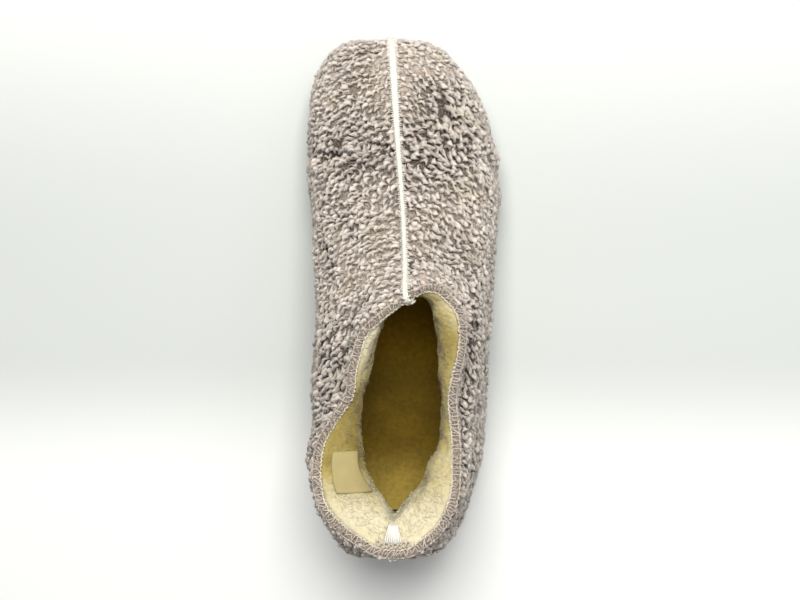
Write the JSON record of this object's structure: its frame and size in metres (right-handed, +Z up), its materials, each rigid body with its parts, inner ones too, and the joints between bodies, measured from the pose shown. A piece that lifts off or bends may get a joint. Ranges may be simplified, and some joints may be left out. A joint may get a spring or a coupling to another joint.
{
  "type": "slipper boot",
  "caption": "Ankle-high slipper boot of curly fleece with a white corded front seam, a cream wool lining and a plain soft sole.",
  "frame": {"origin": "on the floor, below the middle of the boot's length and width", "axes": "+Y from the heel to the toe, +X to the outer (little-toe) side, +Z up"},
  "size_m": [0.105, 0.2792, 0.1173],
  "materials": {
    "outsole": "matt, soft",
    "insole": "short wool pile",
    "upper": "curly fleece pile outside, wool pile inside",
    "cord": "woven cotton, matt",
    "label": "satin ribbon"
  },
  "bodies": {
    "root": {"outsole": "outsole", "insole": "insole", "upper": "upper", "front_seam_cord": "cord", "back_seam_cord": "cord", "lining_label": "label"}
  },
  "joints": []
}
